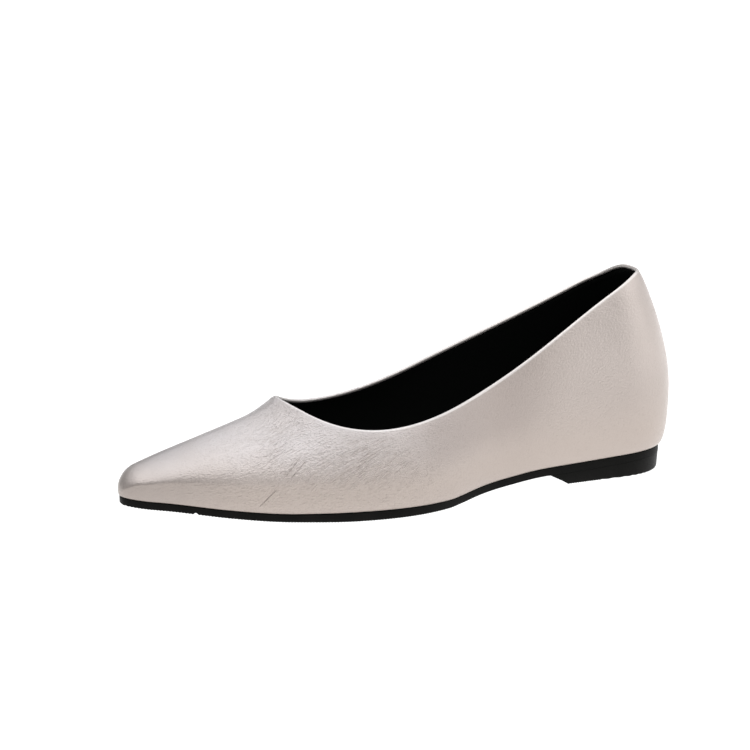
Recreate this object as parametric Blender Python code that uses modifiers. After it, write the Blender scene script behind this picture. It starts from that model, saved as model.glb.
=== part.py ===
"""Pointed toe flat shoe for the left foot, empty, standing on its sole.

The toe points to -Y, the outer side of the foot is +X and the floor is z = 0.
A station is a distance from the back of the heel curve towards the toe, and
t is that distance as a share of the shoe's length.
"""
import math

import bmesh
import bpy
import numpy as np

MM = 0.001
NAME = "pointed_toe_flat_shoe"
OUTER, INNER = 1, -1

# Plan of the last
LENGTH = 258 * MM
SOLE_WIDTH = 75 * MM
HEEL_RADIUS = 31.5 * MM
TOE_RADIUS = 12 * MM
HEEL_ROUND = 2.2
TOE_ROUND = 2.2

# Heights of the upper above its feather line, where it meets the sole
BACK_RISE = 80.6 * MM
SIDE_RISE = 34.8 * MM
THROAT_RISE = 40.7 * MM
CONE_RISE = 65 * MM
INNER_EXTRA = 4 * MM
THROAT_AT = 186.8 * MM
THROAT_FLICK = 3.3 * MM
FLICK_LENGTH = 14 * MM
FLICK_FADE = 18 * MM
FLICK_POWER = 4
FLICK_LIMIT = 1.4
NOSE_RISE = 1.5 * MM
NOSE_LENGTH = 9 * MM
NOSE_ROUND = 2.2

# Fullness of the sides, and how the wall turns under them
SWELL = 3.5 * MM
SWELL_RISE = 26 * MM
SWELL_LIMIT = 0.6
TUCK_ROUND = 2.4
BACK_LEAN = 16 * MM
BACK_LEAN_POWER = 1.7
BACK_TUCK = 4.1 * MM
BACK_REACH = 90 * MM
TOE_TUCK = 0.5 * MM
TOE_REACH = 40 * MM

# Walls, layers and the gaps between them
WALL = 1.6 * MM
MARGIN = 5 * MM
GAP = 0.3 * MM
FOOTBED = 3 * MM
FOOTBED_GAP = 0.5 * MM
FOOTBED_DISH = 1 * MM
FOOTBED_SHORT = 9 * MM
FOOTBED_END = LENGTH - FOOTBED_SHORT
WEDGE_RISE = 24 * MM
OUTSOLE = 3.7 * MM
SOLE_BEVEL = 0.6 * MM
TOE_SPRING = 9.2 * MM
HEEL_RISE = 8.1 * MM

# Heel block, and the groove that crosses the tread near the toe
HEEL_LENGTH = 58 * MM
BREAST_SLANT = 9.5 * MM
HEEL_INSET = 0.6 * MM
HEEL_BEVEL = 1.2 * MM
GROOVE_AT = 230 * MM
GROOVE_WIDTH = 1.8 * MM
GROOVE_DEPTH = 0.9 * MM

# How finely the curves are cut into faces
HEEL_RIBS = 9
SIDE_RIBS = 26
VAMP_RIBS = 14
TOE_RIBS = 8
THROAT_CROWDING = 1.7
UNDER_TURNS = (-90, -58, -36, -17)
UPPER_ROWS = 9
WALL_TURNS = UNDER_TURNS[1:] + tuple(range(0, 75, 5))
FOOTBED_ROWS = 3
DISH_STEPS = 4
PLAN_STEPS = 300
HALVINGS = 40
HEEL_ROUND_SHARE = 0.7
HEEL_SIDE_RIBS = 4
WELD = 0.001 * MM
SHARP = math.radians(40)


def table(columns, *rows):
    """Named columns of a short table."""
    return {name: np.array(values, float) for name, values in zip(columns.split(), zip(*rows))}


# Plan, in shares of half the sole's width: middle line and feather line.
# Sides, in shares of SWELL and SWELL_RISE: how far and how high each stands out.
# Ridge, in shares of THROAT_RISE and CONE_RISE. Full and roof shape the section
# over its widest line: full bends its start, and roof flattens it towards the ridge.
SECTIONS = table(
    "at     middle  feather  outer  inner  high  ridge  cone  full  roof",
    (0.000, 0.000, 0.69, 1.00, 1.00, 1.00, 1.00, 1.00, 0.50, 1.00),
    (0.120, 0.000, 0.64, 0.96, 1.00, 1.00, 1.00, 0.92, 0.53, 1.00),
    (0.250, 0.002, 0.63, 0.94, 1.30, 0.83, 1.00, 0.79, 0.51, 1.00),
    (0.400, 0.035, 0.70, 1.00, 1.90, 0.68, 1.00, 0.63, 0.48, 1.00),
    (0.500, 0.095, 0.885, 0.77, 1.40, 0.48, 1.00, 0.38, 0.51, 1.00),
    (0.600, 0.047, 0.97, 0.70, 0.80, 0.45, 1.00, 0.20, 0.50, 1.05),
    (0.724, -0.018, 0.83, 0.65, 0.65, 0.50, 1.00, 0.00, 0.55, 1.25),
    (0.840, -0.045, 0.60, 0.50, 0.50, 0.42, 0.69, 0.00, 0.55, 1.25),
    (0.930, -0.090, 0.37, 0.40, 0.40, 0.35, 0.43, 0.00, 0.57, 1.20),
    (1.000, -0.045, 0.21, 0.40, 0.40, 0.22, 0.24, 0.00, 0.62, 1.10),
)

# Topline from the back seam to the throat: shares of what the back and the
# throat rise over the side, and of the inner side's own extra height.
TOPLINE = table(
    "at     back   throat  inner",
    (0.000, 1.000, 0.00, 0.00),
    (0.040, 1.010, 0.00, -0.94),
    (0.110, 0.963, 0.00, -1.27),
    (0.277, 0.705, 0.00, -0.31),
    (0.485, 0.296, 0.00, 1.04),
    (0.693, 0.053, 0.00, 0.57),
    (0.831, 0.000, 0.00, 0.00),
    (0.942, 0.005, 0.39, 0.00),
    (1.000, 0.000, 1.00, 0.00),
)

# Underside of the outsole and top of the wedge, in shares of their rises, and how
# thick the outsole is, in shares of OUTSOLE
BOTTOM = table(
    "at    heel  toe   wedge  thick",
    (0.00, 1.00, 0.00, 1.00, 1.00),
    (0.19, 0.74, 0.00, 0.92, 1.08),
    (0.28, 0.64, 0.00, 0.72, 1.06),
    (0.34, 0.46, 0.00, 0.57, 1.06),
    (0.39, 0.31, 0.00, 0.44, 1.06),
    (0.42, 0.20, 0.00, 0.36, 1.06),
    (0.45, 0.07, 0.00, 0.28, 1.08),
    (0.475, 0.00, 0.00, 0.22, 1.10),
    (0.60, 0.00, 0.00, 0.05, 1.20),
    (0.64, 0.00, 0.00, 0.00, 1.20),
    (0.74, 0.00, 0.10, 0.00, 1.06),
    (0.84, 0.00, 0.385, 0.00, 1.02),
    (0.93, 0.00, 0.73, 0.00, 1.00),
    (1.00, 0.00, 1.00, 0.00, 1.00),
)


def spline(at, values, x):
    """Smooth curve through the rows: a natural cubic."""
    steps = np.diff(at)
    slopes = np.diff(values) / steps
    matrix = np.eye(len(at))
    bends = np.zeros(len(at))
    for i in range(1, len(at) - 1):
        matrix[i, i - 1:i + 2] = steps[i - 1], 2 * (steps[i - 1] + steps[i]), steps[i]
        bends[i] = 6 * (slopes[i] - slopes[i - 1])
    bends = np.linalg.solve(matrix, bends)
    x = np.clip(x, at[0], at[-1])
    i = np.clip(np.searchsorted(at, x) - 1, 0, len(at) - 2)
    left, right, step = x - at[i], at[i + 1] - x, steps[i]
    line = (values[i] * right + values[i + 1] * left) / step
    pull = bends[i] * right * (right**2 / step - step) + bends[i + 1] * left * (left**2 / step - step)
    return line + pull / 6


def glide(at, values, x):
    """Curve through the rows that never swings past them."""
    steps = np.diff(at)
    slopes = np.diff(values) / steps
    tangents = np.zeros(len(at))
    same_way = slopes[:-1] * slopes[1:] > 0
    tangents[1:-1][same_way] = 2 / (1 / slopes[:-1][same_way] + 1 / slopes[1:][same_way])
    tangents[-1] = slopes[-1]
    x = np.clip(x, at[0], at[-1])
    i = np.clip(np.searchsorted(at, x) - 1, 0, len(at) - 2)
    u, step = (x - at[i]) / steps[i], steps[i]
    start = (1 + 2 * u) * (1 - u)**2 * values[i] + u * (1 - u)**2 * step * tangents[i]
    end = u**2 * (3 - 2 * u) * values[i + 1] + u**2 * (u - 1) * step * tangents[i + 1]
    return start + end


def smooth(low, high, x):
    """Soft step from 0 at low to 1 at high, also where low is the larger."""
    t = np.clip((x - low) / (high - low), 0, 1)
    return t * t * (3 - 2 * t)


def row(name, s):
    """One column of SECTIONS at station s."""
    return spline(SECTIONS["at"], SECTIONS[name], s / LENGTH)


def closing(distance, radius, power):
    """Share of the full width at a distance from a rounded end."""
    rest = np.clip(1 - distance / radius, 0, 1)
    return (1 - rest**power)**(1 / power)


def arc_drop(share):
    """How far a rounded corner has turned in, 0 at its start and 1 at its end."""
    return 1 - np.sqrt(np.clip(1 - np.clip(share, 0, 1)**TUCK_ROUND, 0, 1))


def underside(s):
    """Height of the outsole's underside, apart from its groove."""
    t = s / LENGTH
    heel = HEEL_RISE * glide(BOTTOM["at"], BOTTOM["heel"], t)
    return heel + TOE_SPRING * glide(BOTTOM["at"], BOTTOM["toe"], t)


def feather_height(s):
    """Height of the line where the upper meets the sole."""
    return underside(s) + OUTSOLE * glide(BOTTOM["at"], BOTTOM["thick"], s / LENGTH)


def stance(s):
    """Smooth ground line that the topline and the ridge are measured from."""
    heel = HEEL_RISE * np.clip(1 - s / THROAT_AT, 0, 1)**2
    return OUTSOLE + heel + TOE_SPRING * glide(BOTTOM["at"], BOTTOM["toe"], s / LENGTH)


def ridge_height(s):
    """Top line of the last: its cone behind the throat, the vamp's ridge before it."""
    full = stance(s) + THROAT_RISE * row("ridge", s) + CONE_RISE * row("cone", s)
    full = full + THROAT_FLICK * smooth(THROAT_AT - FLICK_FADE, THROAT_AT - 2 * FLICK_FADE, s)
    nose = feather_height(s) + NOSE_RISE
    return nose + (full - nose) * closing(LENGTH - s, NOSE_LENGTH, NOSE_ROUND)


def throat_flick(s, along):
    """How far the vamp turns up at the throat, only near its ridge."""
    rise = THROAT_FLICK * np.clip(1 - (s - THROAT_AT) / FLICK_LENGTH, 0, FLICK_LIMIT)**2
    fade = smooth(THROAT_AT - 2 * FLICK_FADE, THROAT_AT - FLICK_FADE, s)
    return rise * fade * along**FLICK_POWER


def topline_height(s, side):
    """Height of the collar's edge behind the throat."""
    t = s / THROAT_AT
    back = (BACK_RISE - SIDE_RISE) * spline(TOPLINE["at"], TOPLINE["back"], t)
    peak = ridge_height(THROAT_AT) + THROAT_FLICK - stance(THROAT_AT)
    throat = (peak - SIDE_RISE) * spline(TOPLINE["at"], TOPLINE["throat"], t)
    extra = INNER_EXTRA * spline(TOPLINE["at"], TOPLINE["inner"], t) if side == INNER else 0
    return stance(s) + SIDE_RISE + back + throat + extra


def swell_column(side):
    """Column of SECTIONS that holds a side's swell."""
    return "outer" if side == OUTER else "inner"


def widest(side):
    """How far a side reaches from the line that the table measures from."""
    s = np.linspace(0, LENGTH, PLAN_STEPS)
    middle = side * row("middle", s)
    return np.max(SOLE_WIDTH / 2 * (middle + row("feather", s)) + SWELL * row(swell_column(side), s))


def middle_line(s):
    """Middle of the feather line, with the shoe's widest parts as far to each side."""
    sideways = (widest(INNER) - widest(OUTER)) / 2
    return SOLE_WIDTH / 2 * row("middle", s) + sideways


def section(s, side):
    """Middle line, feather width, swell, feather height, swell height and ridge height."""
    close = closing(s, HEEL_RADIUS, HEEL_ROUND) * closing(LENGTH - s, TOE_RADIUS, TOE_ROUND)
    low = feather_height(s)
    ridge = ridge_height(s)
    mid = low + SWELL_RISE * row("high", s)
    mid = np.minimum(mid, low + SWELL_LIMIT * (ridge - low))
    swell = SWELL * row(swell_column(side), s) * close
    return middle_line(s), SOLE_WIDTH / 2 * row("feather", s) * close, swell, low, mid, ridge


def place(s, x, z, low, mid):
    """Point of the upper, with the back leaning in and both ends tucked under."""
    top = HEEL_RISE + OUTSOLE + BACK_RISE
    lean = BACK_LEAN * np.clip((z - mid) / (top - mid), 0, None)**BACK_LEAN_POWER
    drop = arc_drop((mid - z) / (mid - low))
    back = (lean + BACK_TUCK * drop) * np.clip(1 - s / BACK_REACH, 0, 1)**2
    toe = TOE_TUCK * drop * np.clip(1 - (LENGTH - s) / TOE_REACH, 0, 1)**2
    return np.stack([x, LENGTH / 2 - s - back + toe, z], -1)


def skin(s, side, turn):
    """Outer surface: turn is -pi/2 at the feather, 0 at the swell, pi/2 at the ridge."""
    middle, feather, swell, low, mid, ridge = section(s, side)
    across = np.abs(np.cos(turn))
    along = np.abs(np.sin(turn))
    under = 2 / TUCK_ROUND
    over = (feather + swell) * across**row("roof", s)
    reach = np.where(turn < 0, feather + swell * across**under, over)
    rise = (ridge - mid) * along**(2 * row("full", s)) + throat_flick(s, along)
    z = np.where(turn < 0, mid - (mid - low) * along**under, mid + rise)
    return place(s, middle + side * reach, z, low, mid)


def collar_turn(s, side):
    """Turn at which the section is cut by the topline."""
    low, high = np.zeros(len(s)), np.full(len(s), math.pi / 2)
    height = topline_height(s, side)
    for step in range(HALVINGS):
        turn = (low + high) / 2
        over = skin(s, side, turn)[:, 2] > height
        low, high = np.where(over, low, turn), np.where(over, turn, high)
    return np.where(s < THROAT_AT, turn, math.pi / 2)


def inner_skin(s, side, turn, depth):
    """Point at a depth under the outer surface, along its normal."""
    reach = 0.02 * MM
    tilt = 0.002
    limit = math.pi / 2
    ahead = skin(np.minimum(s + reach, LENGTH), side, turn) - skin(np.maximum(s - reach, 0), side, turn)
    upward = skin(s, side, np.minimum(turn + tilt, limit)) - skin(s, side, np.maximum(turn - tilt, -limit))
    normal = side * np.cross(upward, ahead)
    normal = normal / np.linalg.norm(normal, axis=-1, keepdims=True)
    return skin(s, side, turn) - depth * normal


def wall_line(s, side, height, depth):
    """Line round the inside of the upper at a height for each station."""
    corner = plan_line(s, side, depth, feather_height(s) + depth)
    turns = [np.full(len(s), math.radians(turn)) for turn in WALL_TURNS]
    points = np.array([corner] + [inner_skin(s, side, turn, depth) for turn in turns])
    line = np.empty((len(s), 3))
    for k in range(len(s)):
        line[k, 0] = np.interp(height[k], points[:, k, 2], points[:, k, 0])
        line[k, 1] = np.interp(height[k], points[:, k, 2], points[:, k, 1])
    ends = (s <= 0) | (s >= LENGTH)
    line[ends, 0] = middle_line(s)[ends]
    line[:, 2] = height
    return line


def plan_line(s, side, inset, height):
    """Feather line in plan, moved in by a distance and set at a height."""
    reach = 0.05 * MM
    low = -math.pi / 2
    ahead = skin(np.minimum(s + reach, LENGTH), side, low)
    way = ahead - skin(np.maximum(s - reach, 0), side, low)
    way[(s <= 0) | (s >= LENGTH), 1] = 0
    way = way / np.hypot(way[:, 0], way[:, 1])[:, None]
    line = skin(s, side, low)
    line[:, 0] += side * inset * way[:, 1]
    line[:, 1] -= side * inset * way[:, 0]
    line[:, 2] = height
    return line


def footbed_height(s):
    """Top of the footbed at its edge."""
    wedge = WEDGE_RISE * glide(BOTTOM["at"], BOTTOM["wedge"], s / LENGTH)
    return feather_height(s) + WALL + GAP + FOOTBED + wedge


def groove(s):
    """Depth of the tread's cross groove."""
    return GROOVE_DEPTH * np.clip(1 - np.abs(s - GROOVE_AT) / (GROOVE_WIDTH / 2), 0, 1)


def end_steps(count):
    """Shares that crowd towards 0, for a rounded end."""
    return 1 - np.cos(np.arange(count) / count * math.pi / 2)


def rib_stations():
    """Stations of the upper's ribs, at the feather and at the top edge."""
    heel = HEEL_RADIUS * end_steps(HEEL_RIBS)
    toe = LENGTH - TOE_RADIUS * end_steps(TOE_RIBS)[::-1]
    vamp = np.linspace(THROAT_AT, LENGTH - TOE_RADIUS, VAMP_RIBS + 1)
    share = np.arange(SIDE_RIBS) / SIDE_RIBS
    side = THROAT_AT - HEEL_RADIUS
    low = np.concatenate([heel, HEEL_RADIUS + side * share, vamp, toe])
    top = np.concatenate([heel, THROAT_AT - side * (1 - share)**THROAT_CROWDING, vamp, toe])
    return low, top


def sole_stations():
    """Stations of the outsole: the upper's own and the groove's."""
    ribs = rib_stations()[0]
    notch = GROOVE_AT + GROOVE_WIDTH / 2 * np.array([-1, 0, 1])
    return np.sort(np.concatenate([ribs[np.abs(ribs - GROOVE_AT) > GROOVE_WIDTH], notch]))


def footbed_stations():
    """Stations of the footbed, which stops short of the toe."""
    ribs = rib_stations()[0]
    toe = FOOTBED_END - TOE_RADIUS * end_steps(TOE_RIBS)[::-1]
    return np.concatenate([ribs[ribs < FOOTBED_END - TOE_RADIUS], toe])


def rounded_toe(lines, s):
    """Lines of the footbed drawn in to its own rounded toe."""
    close = closing(FOOTBED_END - s, TOE_RADIUS, TOE_ROUND)
    for line in lines:
        line[:, 0] = middle_line(s) + (line[:, 0] - middle_line(s)) * close
    lines[0][-1] = lines[1][-1] = (lines[0][-1] + lines[1][-1]) / 2
    return lines


def upper_rows(side):
    """Rows of points over one half of the upper, from its margin to its top edge."""
    low, top = rib_stations()
    rows = [plan_line(low, side, MARGIN, feather_height(low))]
    rows += [skin(low, side, np.full(len(low), math.radians(turn))) for turn in UNDER_TURNS]
    full_turn = collar_turn(top, side)
    for share in np.linspace(0, 1, UPPER_ROWS + 1):
        rows.append(skin(low + (top - low) * share, side, full_turn * share))
    return rows


def both(line, *values):
    """The same line of points on the outer and the inner side."""
    return [line(values[0], side, *values[1:]) for side in (OUTER, INNER)]


def add_strip(mesh, rows, flip=False):
    """Quads between neighbouring rows of points."""
    lines = [[mesh.verts.new(point) for point in line] for line in rows]
    for first, second in zip(lines, lines[1:]):
        for k in range(len(first) - 1):
            corners = [first[k], first[k + 1], second[k + 1], second[k]]
            mesh.faces.new(corners[::-1] if flip else corners)


def add_cap(mesh, ring, dish=0.0, across=1):
    """Strips from the outer to the inner side of a ring, sunk in the middle."""
    outer, inner = ring
    rows = []
    for share in np.linspace(0, 1, across + 1):
        line = outer + (inner - outer) * share
        line[:, 2] -= dish * 4 * share * (1 - share)
        rows.append(line)
    add_strip(mesh, rows)


def add_loft(mesh, rings):
    """Sides of a closed piece from its rings, and its end where it is cut off."""
    add_strip(mesh, [outer for outer, inner in rings])
    add_strip(mesh, [inner for outer, inner in rings])
    outer_end = np.array([outer[-1] for outer, inner in rings])
    inner_end = np.array([inner[-1] for outer, inner in rings])
    if np.abs(outer_end - inner_end).max() > WELD:
        add_strip(mesh, [outer_end, inner_end])


def material(name, colour, roughness):
    """Plain shader of one colour."""
    made = bpy.data.materials.new(name)
    made.use_nodes = True
    shader = made.node_tree.nodes["Principled BSDF"]
    shader.inputs["Base Color"].default_value = (*colour, 1)
    shader.inputs["Roughness"].default_value = roughness
    return made


def leather():
    """Pearl champagne leather of the upper."""
    return material("pearl_leather", (0.72, 0.64, 0.58), 0.38)


def sock():
    """Black cover of the footbed."""
    return material("black_sock", (0.012, 0.012, 0.012), 0.6)


def sole_rubber():
    """Black rubber of the outsole."""
    return material("black_rubber", (0.015, 0.015, 0.015), 0.5)


def heel_rubber():
    """Black of the heel block."""
    return material("heel_black", (0.014, 0.014, 0.014), 0.55)


def finish(mesh, name, cover, closed=True):
    """Weld a mesh, shade it and put it in the shoe's collection."""
    bmesh.ops.remove_doubles(mesh, verts=mesh.verts, dist=WELD)
    if closed:
        bmesh.ops.recalc_face_normals(mesh, faces=mesh.faces)
    data = bpy.data.meshes.new(name)
    mesh.to_mesh(data)
    mesh.free()
    data.shade_smooth()
    data.set_sharp_from_angle(angle=SHARP)
    data.materials.append(cover)
    piece = bpy.data.objects.new(name, data)
    bpy.data.collections[NAME].objects.link(piece)
    return piece


def build_upper():
    """Hollow shell of the upper, open at the collar and between its margins."""
    mesh = bmesh.new()
    add_strip(mesh, upper_rows(OUTER), flip=True)
    add_strip(mesh, upper_rows(INNER))
    piece = finish(mesh, "upper", leather(), closed=False)
    wall = piece.modifiers.new("wall", "SOLIDIFY")
    wall.thickness = WALL
    wall.offset = -1
    wall.use_even_offset = True


def build_insole():
    """Footbed and board: a core between the margins, and a wedge under the heel."""
    s = footbed_stations()
    low = feather_height(s)
    seat = low + WALL + GAP
    top = footbed_height(s)
    inset = MARGIN + FOOTBED_GAP
    depth = WALL + FOOTBED_GAP
    rings = [both(plan_line, s, inset, low), both(plan_line, s, inset, seat)]
    for share in np.linspace(0, 1, FOOTBED_ROWS + 1):
        rings.append(both(wall_line, s, seat + (top - seat) * share, depth))
    rings = [rounded_toe(lines, s) for lines in rings]
    mesh = bmesh.new()
    add_loft(mesh, rings)
    add_cap(mesh, rings[0])
    add_cap(mesh, rings[-1], FOOTBED_DISH, DISH_STEPS)
    finish(mesh, "insole", sock())


def build_outsole():
    """Rubber outsole with the feather line's outline, its lower edge bevelled."""
    s = sole_stations()
    bottom = underside(s) + groove(s)
    rings = [
        both(plan_line, s, 0, feather_height(s) - GAP),
        both(plan_line, s, 0, bottom + SOLE_BEVEL),
        both(plan_line, s, SOLE_BEVEL, bottom),
    ]
    mesh = bmesh.new()
    add_loft(mesh, rings)
    add_cap(mesh, rings[0])
    add_cap(mesh, rings[-1])
    finish(mesh, "outsole", sole_rubber())


def build_heel_block():
    """Low heel under the seat, with a slanted breast and a bevelled lower edge."""
    share = np.concatenate([end_steps(HEEL_RIBS) * HEEL_ROUND_SHARE,
                            np.linspace(HEEL_ROUND_SHARE, 1, HEEL_SIDE_RIBS + 1)])
    rings = []
    for inset, rise, breast in (
        (HEEL_INSET, None, HEEL_LENGTH + BREAST_SLANT),
        (HEEL_INSET, HEEL_BEVEL, HEEL_LENGTH + BREAST_SLANT * HEEL_BEVEL / HEEL_RISE),
        (HEEL_INSET + HEEL_BEVEL, 0, HEEL_LENGTH),
    ):
        s = share * breast
        height = underside(s) - GAP if rise is None else np.full(len(s), rise)
        rings.append(both(plan_line, s, inset, height))
    mesh = bmesh.new()
    add_loft(mesh, rings)
    add_cap(mesh, rings[0])
    add_cap(mesh, rings[-1])
    finish(mesh, "heel_block", heel_rubber())


def build_shoe():
    """All the pieces, in a collection of their own."""
    for old in list(bpy.data.objects):
        bpy.data.objects.remove(old)
    shoe = bpy.data.collections.new(NAME)
    bpy.context.scene.collection.children.link(shoe)
    build_upper()
    build_insole()
    build_outsole()
    build_heel_block()


build_shoe()
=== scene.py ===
"""Pointed toe flat shoe in a plain studio, drawn over its own solid model.

The toe points to -Y, the outer side of the foot is +X and the floor is z = 0.
A station is a distance from the back of the heel curve towards the toe, and
girth is the distance over the skin from the feather line, where upper meets sole.
"""

import math
from types import SimpleNamespace

import bmesh
import bpy
import numpy as np
from mathutils import Matrix, Vector, noise


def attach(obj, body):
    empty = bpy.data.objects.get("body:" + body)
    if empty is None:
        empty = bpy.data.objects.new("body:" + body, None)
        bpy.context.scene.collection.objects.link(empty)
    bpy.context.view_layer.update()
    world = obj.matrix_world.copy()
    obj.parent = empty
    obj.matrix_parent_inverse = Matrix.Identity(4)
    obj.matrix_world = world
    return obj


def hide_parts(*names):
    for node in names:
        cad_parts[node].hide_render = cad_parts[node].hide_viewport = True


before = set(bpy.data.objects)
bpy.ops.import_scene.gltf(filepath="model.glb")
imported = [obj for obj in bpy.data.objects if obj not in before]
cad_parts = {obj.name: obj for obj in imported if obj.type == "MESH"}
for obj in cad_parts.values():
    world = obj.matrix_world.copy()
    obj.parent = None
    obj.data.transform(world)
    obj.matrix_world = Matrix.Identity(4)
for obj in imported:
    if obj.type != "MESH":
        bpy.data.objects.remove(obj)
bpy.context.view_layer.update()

MM = 0.001
OUTER, INNER = 1, -1

# Plan of the last
LENGTH = 258 * MM
SOLE_WIDTH = 75 * MM
HEEL_RADIUS = 31.5 * MM
TOE_RADIUS = 12 * MM
HEEL_ROUND = 2.2
TOE_ROUND = 2.2

# Heights of the upper above its feather line
BACK_RISE = 80.6 * MM
SIDE_RISE = 34.8 * MM
THROAT_RISE = 40.7 * MM
CONE_RISE = 65 * MM
INNER_EXTRA = 4 * MM
THROAT_AT = 186.8 * MM
THROAT_FLICK = 3.3 * MM
FLICK_LENGTH = 14 * MM
FLICK_FADE = 18 * MM
FLICK_POWER = 4
FLICK_LIMIT = 1.4
NOSE_RISE = 1.5 * MM
NOSE_LENGTH = 9 * MM
NOSE_ROUND = 2.2

# Fullness of the sides, and how the wall turns under them
SWELL = 3.5 * MM
SWELL_RISE = 26 * MM
SWELL_LIMIT = 0.6
TUCK_ROUND = 2.4
BACK_LEAN = 16 * MM
BACK_LEAN_POWER = 1.7
BACK_TUCK = 4.1 * MM
BACK_REACH = 90 * MM
TOE_TUCK = 0.5 * MM
TOE_REACH = 40 * MM

# Walls, layers and the gaps between them
WALL = 1.6 * MM
LEATHER = 0.9 * MM
LINING_GAP = 0.05 * MM
LINING_DROP = 0.6 * MM
EDGE_ROLL = 0.35 * MM
EDGE_ROLL_REACH = 6 * MM
MARGIN = 5 * MM
GAP = 0.3 * MM
FOOTBED = 3 * MM
FOOTBED_GAP = 0.5 * MM
FOOTBED_DISH = 1 * MM
FOOTBED_SHORT = 9 * MM
FOOTBED_END = LENGTH - FOOTBED_SHORT
FOOTBED_ROLL = 1.2 * MM
WEDGE_RISE = 24 * MM
OUTSOLE = 3.7 * MM
SOLE_BEVEL = 0.6 * MM
TOE_SPRING = 9.2 * MM
HEEL_RISE = 8.1 * MM

# Heel block, and the groove that crosses the tread near the toe. A bevel bends at its
# share KNEE, and over the heel the sole keeps the share BEVEL_AT_HEEL of its own.
HEEL_LENGTH = 58 * MM
BREAST_SLANT = 9.5 * MM
HEEL_INSET = 0.6 * MM
HEEL_JOINT = 0.1 * MM
HEEL_BEVEL = 1.2 * MM
KNEE = 0.3
BEVEL_AT_HEEL = 0.15
BREAST_FADE = 2 * MM
HEEL_TREAD_FADE = 3 * MM
GROOVE_AT = 230 * MM
GROOVE_WIDTH = 1.8 * MM
GROOVE_DEPTH = 0.9 * MM

# Fine tread
TREAD_PITCH = 1.25 * MM
TREAD_DEPTH = 0.22 * MM
TREAD_FROM = 116 * MM
TREAD_FADE = 4 * MM

# Relief of the leather: gentle unevenness in two sizes that calms at the edges, and the
# creases' bow and soft ends in shares of their length
UNEVENNESS = 0.1 * MM
UNEVEN_SIZE = 22 * MM
UNEVEN_SMALL = 9 * MM
CALM_REACH = 8 * MM
CREASE_BOW = 0.08
CREASE_ENDS = (-0.15, 0.35), (1.15, 0.65)
CREASE_FROM_FEATHER = 5 * MM
CREASE_FROM_EDGE = 6 * MM

# Grain of the leather: sizes, depths, and directions in degrees on the map of station and
# girth. The soft ends of its fine lines are shares of their length.
WRINKLE_ANGLE = 141
WRINKLE_STRETCH = 5
WRINKLE_SIZE = 0.95 * MM
WRINKLE_DEPTH = 1.15 * MM
GRAIN_ANGLE = 150
GRAIN_STRETCH = 1.5
GRAIN_SIZE = 0.75 * MM
PEBBLE_SIZE = 0.7 * MM
GRAIN_DEPTH = 0.42 * MM
LINE_ENDS = (-0.05, 0.2), (1.05, 0.7)
LINE_DEPTH = 0.3 * MM
PATCH_SIZE = 26 * MM
GLOSS_SIZE = 7 * MM

# Zones of the leather: where a soft step over station or girth starts and ends
FLEX_BACK = 118 * MM, 150 * MM
FLEX_FRONT = 214 * MM, 188 * MM
FLEX_LOW = 8 * MM, 20 * MM
FLEX_HIGH = 32 * MM, 48 * MM
GRAIN_BACK = 90 * MM, 150 * MM
GRAIN_FRONT = 250 * MM, 205 * MM
# Where the painted cool highlight fades in along the shoe and up the wall
COOL_BACK = 60 * MM, 190 * MM
COOL_LOW = 6 * MM, 34 * MM
# Where the painted shade of the toe and the quarter and the painted light of the heel lie
TOE_BACK = 205 * MM, 250 * MM
QUARTER_BACK = 60 * MM, 92 * MM
QUARTER_FRONT = 152 * MM, 124 * MM
QUARTER_LOW = 12 * MM, 30 * MM
HEEL_FRONT = 78 * MM, 44 * MM
HEEL_LOW = 26 * MM, 52 * MM
# How far below the topline the painted highlight of the folded edge reaches
EDGE_HIGHLIGHT_BELOW = 0.0, 0.4 * MM
# How far above the feather the dark joint line reaches
JOINT_LINE_ABOVE = 0.2 * MM, 0.7 * MM

# Colours of the leather, and of the painted light and shade on it
WARM_PEARL = 0.487, 0.419, 0.378, 1
# Painted cool highlight, mixed in on up-facing, higher and forward parts
PAINTED_COOL_HIGHLIGHT = 0.56, 0.538, 0.553, 1
DULL_PEARL = 0.48, 0.415, 0.378, 1
# Painted shade, for the quarter and for the wrinkles, grain hollows and fine lines
PAINTED_SHADE = 0.25, 0.2, 0.18, 1
# Painted shade of the toe
PAINTED_TOE_SHADE = 0.2, 0.18, 0.175, 1
# Painted light of the heel below the collar
PAINTED_HEEL_LIGHT = 0.80, 0.72, 0.68, 1
# Painted highlight of the folded topline edge
PAINTED_EDGE_HIGHLIGHT = 0.80, 0.78, 0.77, 1
# Dark line at the feather joint: partly a dark edge of the leather, partly painted shade in the joint
JOINT_EDGE_AND_SHADE = 0.07, 0.04, 0.025, 1

# Room: heights of a direction where the dark horizon ends and the bright ceiling is full,
# how strongly each part glows, and where the floor fades in front of and beside the shoe
HORIZON_TOP = 0.30
CEILING_FROM = 0.72
HORIZON_GLOW = 0.05
CEILING_GLOW = 1.25
FLOOR_SIZE = 40
FLOOR_GLOW = 1.2
FLOOR_DARK = 0.12
FLOOR_FADE = 0.33, 0.7
LEFT_FADE = 0.22, 0.45
REAR_WAY = 0.3, 0.95, 0.1
REAR_FADE = 0.3, 0.95
REAR_GLOW = 0.7

# Camera: angles in degrees, focal length and centre in pixels of the picture, and how
# many pixels 1 mm takes at VIEW_DISTANCE
VIEW_AZIMUTH = 66.1
VIEW_ELEVATION = 13.86
VIEW_ROLL = -0.28
VIEW_DISTANCE = 961 * MM
AIM_HEIGHT = 40 * MM
PICTURE = 750
SENSOR = 36
PIXELS_PER_MM = 2.289
FOCAL_PIXELS = PIXELS_PER_MM * VIEW_DISTANCE / MM
CENTRE_X = 402.6
CENTRE_Y = 402.2

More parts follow.
